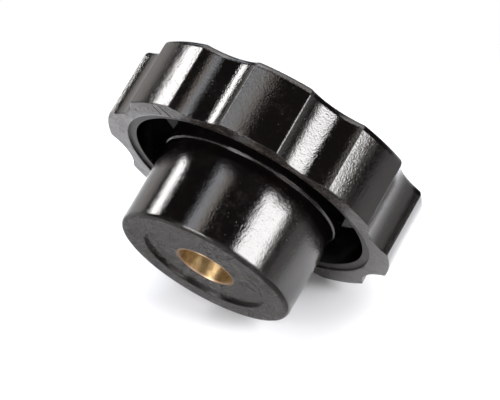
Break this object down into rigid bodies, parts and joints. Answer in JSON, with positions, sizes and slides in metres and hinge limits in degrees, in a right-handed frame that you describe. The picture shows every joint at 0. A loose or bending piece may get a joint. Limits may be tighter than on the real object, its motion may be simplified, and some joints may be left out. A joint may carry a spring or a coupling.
{
  "type": "star knob",
  "caption": "Moulded hand knob with a scalloped head, hollow underside, round hub and blind brass-lined bore.",
  "frame": {"origin": "middle of the hub's end face, on the bore's axis", "axes": "+Z along the knob's axis from the hub's end to the head's top, +X through the middle of a lobe"},
  "size_m": [0.0508, 0.0508, 0.0267],
  "materials": {
    "moulding": "glossy, finely scuffed",
    "insert": "turned, slightly tarnished"
  },
  "bodies": {
    "root": {"knob_body": "moulding", "brass_insert": "insert"}
  },
  "joints": []
}
